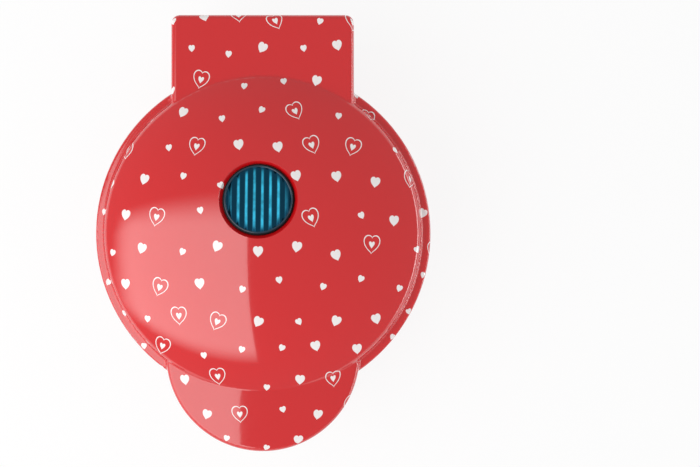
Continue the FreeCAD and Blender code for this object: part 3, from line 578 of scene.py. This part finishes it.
# %% The fluted lens and its rim
CROWN_R = 103.7          # the lid's dome
DOME_TOP_Z = 71.0
FLUTE_TOP = -1.25        # crests, below the dome's surface
FLUTE_DEPTH = 0.52
TRAY_GAP = 0.1           # under the flutes
GRID_ACROSS = 385        # points of the flutes' grid
GRID_UPRIGHT = 9
BEAD_R = 0.35            # the rounded rim, which lies on the bezel
BEAD_TOP = -0.74
BEAD_STEPS = 10
RIM_CREASE = math.radians(50)
NECK_R = 11.7            # the lens below its rim, inside the bezel
LENS_LOW = -4.2

lens_tilt = math.asin(LENS_Y / CROWN_R)
lens_height = DOME_TOP_Z - CROWN_R * (1 - math.cos(lens_tilt))
lens_place = Matrix.Translation((0, LENS_Y * MM, lens_height * MM)) @ Matrix.Rotation(-lens_tilt, 4, "X")


def fluted_disc():
    given = new_tree("fluted_disc", ("Radius", "Pitch", "Depth"))
    radius = given["Radius"]
    counts = {"Vertices X": GRID_ACROSS, "Vertices Y": GRID_UPRIGHT}
    grid = radius.node("GeometryNodeMeshGrid", (), {"Size X": radius * 2.0, "Size Y": 2.0, **counts})
    x, y = radius.node("GeometryNodeInputPosition").axes()[:2]
    reach = (radius * radius - x * x).larger(0.0).root()
    phase = x * (2 * math.pi) / given["Pitch"]
    wave = 0.0 - phase.sine()
    height = (wave - 1.0) * given["Depth"] * 0.5
    pressed = x.node("ShaderNodeCombineXYZ", (), {0: x, 1: y * reach, 2: height})
    shaped = grid.node("GeometryNodeSetPosition", (), {"Geometry": grid, "Position": pressed})
    return close_tree(shaped, given)


def turned(name, profile, steps=96):
    """A closed solid of revolution about Z from (radius, height) points that start and end on the axis."""
    points = [(0, 0, profile[0][1]), (0, 0, profile[-1][1])]
    rings = profile[1:-1]
    for radius, height in rings:
        angles = (2 * math.pi * step / steps for step in range(steps))
        points += [(radius * math.cos(a), radius * math.sin(a), height) for a in angles]

    def at(ring, step):
        return 2 + ring * steps + step % steps

    faces = [(0, at(0, step), at(0, step + 1)) for step in range(steps)]
    faces += [(1, at(len(rings) - 1, step + 1), at(len(rings) - 1, step)) for step in range(steps)]
    for ring in range(len(rings) - 1):
        faces += [(at(ring, s), at(ring + 1, s), at(ring + 1, s + 1), at(ring, s + 1)) for s in range(steps)]
    mesh = bpy.data.meshes.new(name)
    mesh.from_pydata([Vector(p) * MM for p in points], [], faces)
    mesh.shade_smooth()
    return mesh


flutes_r = LENS_R - 2 * BEAD_R
tray = FLUTE_TOP - FLUTE_DEPTH - TRAY_GAP
half_round = [math.pi * step / BEAD_STEPS for step in range(BEAD_STEPS + 1)]
bead = [(LENS_R - BEAD_R * (1 + math.cos(a)), BEAD_TOP - BEAD_R * (1 - math.sin(a))) for a in half_round]
tray_edge = [(0, tray), (flutes_r, tray)]
neck = [(NECK_R, BEAD_TOP - BEAD_R), (NECK_R, LENS_LOW), (0, LENS_LOW)]
rim_mesh = turned("indicator_rim", tray_edge + bead + neck)
rim_mesh.transform(lens_place)
rim_mesh.set_sharp_from_angle(angle=RIM_CREASE)
lens_rim = bpy.data.objects.new("indicator_rim", rim_mesh)
bpy.context.scene.collection.objects.link(lens_rim)
stand_for(lens_rim, "indicator_lens", rim_blue)

flutes_place = lens_place @ Matrix.Translation((0, 0, FLUTE_TOP * MM))
flutes = grow("indicator_flutes", fluted_disc(), bpy.data.meshes.new("flutes_start"), flutes_place,
              Radius=flutes_r * MM, Pitch=FLUTE_PITCH * MM, Depth=FLUTE_DEPTH * MM,
              Finish=finishes["lens_blue"])
stand_for(flutes, "indicator_lens", finishes["lens_blue"])
print("lens:", len(flutes.data.polygons), "faces in the flutes,", len(lens_rim.data.polygons), "in the rim")

# %% [markdown]
# ## Screws with a cross recess
#
# Plated screws hold the bottom cover and the lid's inner frame, with their heads facing down. They are all
# alike, so one tree makes a tapered head with a cross cut out of it and a shank behind, and sets a copy on
# every point of a list of places. The places are mirrored pairs.

# %% Make and place the screws
HEAD_R = 2.8
HEAD_H = 1.4
SHANK_R = 1.5
SHANK_L = 5.4
HEAD_TAPER = 0.84        # shares of the head's radius: its lower face, and the recess
RECESS_LENGTH = 1.15
RECESS_WIDTH = 0.24
ROUND_STEPS = 40
COVER_SCREWS = [(36.0, -12.0), (24.5, 70.5)]
FRAME_SCREWS = [(16.0, -64.0), (26.5, 60.5)]


def cross_screws():
    """A screw on every point of the starting mesh, its head facing down."""
    given = new_tree("cross_screws", ("Head radius", "Head height", "Shank radius", "Shank length"))
    wide = given["Head radius"]
    tall = given["Head height"]

    def round_bar(low, high, height):
        sizes = {"Vertices": ROUND_STEPS, "Radius Bottom": low, "Radius Top": high, "Depth": height}
        return wide.node("GeometryNodeMeshCone", (), sizes)

    def bar(length, width):
        size = wide.node("ShaderNodeCombineXYZ", (), {0: length, 1: width, 2: tall})
        return wide.node("GeometryNodeMeshCube", (), {"Size": size})

    recess = together(bar(wide * RECESS_LENGTH, wide * RECESS_WIDTH),
                      bar(wide * RECESS_WIDTH, wide * RECESS_LENGTH))
    head = wide.node("GeometryNodeMeshBoolean", {"operation": "DIFFERENCE"},
                     {"Mesh 1": round_bar(wide * HEAD_TAPER, wide, tall), "Mesh 2": recess})
    rise = wide.node("ShaderNodeCombineXYZ", (), {2: tall})
    stem = round_bar(given["Shank radius"], given["Shank radius"], given["Shank length"])
    shank = wide.node("GeometryNodeTransform", (), {"Geometry": stem, "Translation": rise})
    screw = together(head, shank)
    placed = wide.node("GeometryNodeInstanceOnPoints", (), {"Points": given["Start"], "Instance": screw})
    return close_tree(placed, given)


screw_tree = cross_screws()


def set_screws(node, pairs):
    """Screws at mirrored pairs of places, with their heads at the bottom of the node they stand for."""
    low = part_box(node)[0][2]
    places = bpy.data.meshes.new(node + "_places")
    places.from_pydata([(side * x * MM, y * MM, low) for x, y in pairs for side in (-1, 1)], [], [])
    piece = grow(node + "_set", screw_tree, places, Finish=finishes["steel"],
                 **{"Head radius": HEAD_R * MM, "Head height": HEAD_H * MM,
                    "Shank radius": SHANK_R * MM, "Shank length": SHANK_L * MM})
    stand_for(piece, node, finishes["steel"])
    return piece


made_screws = [set_screws("base_cover_screws", COVER_SCREWS), set_screws("lid_frame_screws", FRAME_SCREWS)]
print("screws:", [(piece.name, len(piece.data.polygons)) for piece in made_screws])

# %% [markdown]
# ## The pieces that stay as they are
#
# Elements, reflectors, leads and the other inner pieces are seldom seen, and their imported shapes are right.
# They could have skins too, but a finish is enough: it goes into the node's own material slot, chosen by the
# slot that the record names.

# %% Finish the pieces that stay
replaced = {node for piece in bpy.data.objects for node in piece.get("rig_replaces", [])}
plain = [name for name in frame["nodes"] if name not in replaced and slot_of(name) in finishes]
for name in plain:
    materials = frame["nodes"][name].data.materials
    materials.clear()
    materials.append(finishes[slot_of(name)])
print("plain nodes finished:", len(plain))

# %% [markdown]
# ## Camera
#
# The photograph was taken from straight above with the appliance a little left of the middle. The camera
# height comes from how far the indicator, which is higher than the rim, leans away from the middle of the
# picture. The focal length then follows from the scale of the rim.

# %% Camera
PHOTO_W = 700                # pixels
RIM_CENTRE_PX = 263.2        # across the photograph
SCALE_PX = 2.68              # pixels to a millimetre at the rim
RIM_Z = 0.0485
CAMERA_ABOVE = 0.381         # over the rim
SENSOR = 36.0

camera_data = bpy.data.cameras.new("camera")
camera_data.sensor_width = SENSOR
camera_data.lens = SCALE_PX / MM * CAMERA_ABOVE / PHOTO_W * SENSOR
camera = bpy.data.objects.new("camera", camera_data)
camera.location = ((PHOTO_W / 2 - RIM_CENTRE_PX) / SCALE_PX * MM, 0.0, RIM_Z + CAMERA_ABOVE)
bpy.context.scene.collection.objects.link(camera)
bpy.context.scene.camera = camera
print("lens", round(camera_data.lens, 1), "mm at", tuple(camera.location))

# %% [markdown]
# ## Floor and world
#
# The background is white. More light would make it so, but would bleach the red as well. Instead the floor
# shows plain white, mixed with its own shading, to the rays that look at it, and its back is clear so that
# the underside can be looked at. The world is white at the skyline, and greyer overhead so that the gloss
# isn't veiled.

# %% Floor and world
FLOOR_HALF = 3.0
FLOOR_Z = -0.0002            # a hair under the feet
FLOOR_COLOUR = (0.92, 0.92, 0.92, 1.0)
FLOOR_GLOW = 0.88            # the share of plain white
bpy.context.scene.view_settings.view_transform = "Standard"


def white_when_seen(shading, share):
    """The share of plain white for rays straight from the camera, in gloss or through glass; 0 for others."""
    kinds = ("Is Camera Ray", "Is Glossy Ray", "Is Transmission Ray")
    straight, gloss, through = [shading.node("ShaderNodeLightPath", out=kind) for kind in kinds]
    return straight.larger(gloss).larger(through) * share


def pale_floor():
    material = bpy.data.materials.new("pale_floor")
    material.use_nodes = True
    tree = material.node_tree
    shader = tree.nodes["Principled BSDF"]
    shader.inputs["Base Color"].default_value = FLOOR_COLOUR
    shader.inputs["Roughness"].default_value = 0.9
    shader.inputs["Specular IOR Level"].default_value = 0.0
    shading = Wire(tree, shader.outputs[0])
    white = shading.node("ShaderNodeEmission")
    share = white_when_seen(shading, FLOOR_GLOW)
    top = shading.node("ShaderNodeMixShader", (), {0: share, 1: shading, 2: white})
    behind = shading.node("ShaderNodeNewGeometry", out="Backfacing")
    clear = shading.node("ShaderNodeBsdfTransparent")
    one_sided = shading.node("ShaderNodeMixShader", (), {0: behind, 1: top, 2: clear})
    tree.links.new(one_sided.socket, tree.nodes["Material Output"].inputs["Surface"])
    return material


floor_mesh = bpy.data.meshes.new("floor")
corners = [(-1, -1), (1, -1), (1, 1), (-1, 1)]
floor_mesh.from_pydata([(x * FLOOR_HALF, y * FLOOR_HALF, FLOOR_Z) for x, y in corners], [], [(0, 1, 2, 3)])
floor = bpy.data.objects.new("floor", floor_mesh)
floor.data.materials.append(pale_floor())
bpy.context.scene.collection.objects.link(floor)

WORLD_LEVEL = 0.48           # overhead
SKYLINE_TOP = 0.05           # white up to this upward part of a ray's direction
OVERHEAD_FROM = 0.17         # and at the overhead level from here
world = bpy.data.worlds.new("studio")
world.use_nodes = True
bpy.context.scene.world = world
sky = world.node_tree.nodes["Background"]
sky.inputs["Color"].default_value = (1.0, 1.0, 1.0, 1.0)
direction = Wire(world.node_tree, sky.outputs[0]).node("ShaderNodeTexCoord", out="Generated")
skyline = 1.0 - direction.axes()[2].smooth_step(SKYLINE_TOP, OVERHEAD_FROM)
world.node_tree.links.new((skyline * (1.0 - WORLD_LEVEL) + WORLD_LEVEL).socket, sky.inputs["Strength"])
print("floor and world ready")

# %% [markdown]
# ## Lamps
#
# The broad pale reflection on the dome is sharp on its right and soft on its other sides. One large panel
# over the left front makes it, with its light faded towards those sides. A second panel carries the fade on
# towards the hinge and is shorter on the right, so that the rear block stays plain red. A low strip lights
# the right of the rim.

# %% Lamps
def panel_light(name, centre, along, across, radiance):
    """A flat rectangular softbox from its middle and its two side vectors; radiance 1 is plain white."""
    data = bpy.data.lights.new(name, "AREA")
    data.shape = "RECTANGLE"
    data.size = along.length
    data.size_y = across.length
    data.energy = radiance * math.pi * along.length * across.length
    lamp = bpy.data.objects.new(name, data)
    side = along.normalized()
    front = side.cross(across).normalized()
    up = front.cross(side)
    turn = Matrix((side, up, front)).transposed()
    lamp.matrix_world = Matrix.Translation(centre) @ turn.to_4x4()
    bpy.context.scene.collection.objects.link(lamp)
    return lamp


EDGE_OVER = 0.05         # a fade ends this share past the edge


def soft_edges(lamp, left, front, back):
    """Fade a panel towards three of its edges, each over that share of its side."""
    lamp.data.use_nodes = True
    tree = lamp.data.node_tree
    emission = tree.nodes["Emission"]
    u, v = Wire(tree, emission.outputs[0]).node("ShaderNodeNewGeometry", out="Parametric").axes()[:2]
    level = u.smooth_step(-EDGE_OVER, left) * v.smooth_step(-EDGE_OVER, front)
    level = level * (1.0 - v.smooth_step(1.0 - back, 1.0 + EDGE_OVER))
    tree.links.new(level.socket, emission.inputs["Strength"])


SOFTBOX = 2.2            # radiances
STRIP = 4.8
softbox_middle = Vector((-1.155, -0.4855, 0.592))
softbox_along = Vector((2.07, -0.015, 0.19))
softbox_across = Vector((0.089, 1.05, 0.186))
softbox = panel_light("overhead_left_softbox", softbox_middle, softbox_along, softbox_across, SOFTBOX)
soft_edges(softbox, 0.45, 0.22, 0.0)

top_middle = Vector((-1.1885, 0.1659, 0.6993))
top_along = Vector((1.894, -0.0137, 0.174))
top_across = Vector((0.021, 0.246, 0.044))
softbox_top = panel_light("overhead_left_softbox_top", top_middle, top_along, top_across, SOFTBOX)
soft_edges(softbox_top, 0.49, 0.0, 1.0)

strip_middle = Vector((1.2, -0.1, 0.225))
strip_along = Vector((0.0, 1.8, 0.0))
strip_across = Vector((0.0, 0.0, 0.35))
strip = panel_light("low_right_strip", strip_middle, strip_along, strip_across, STRIP)
soft_edges(strip, 0.3, 0.0, 0.9)
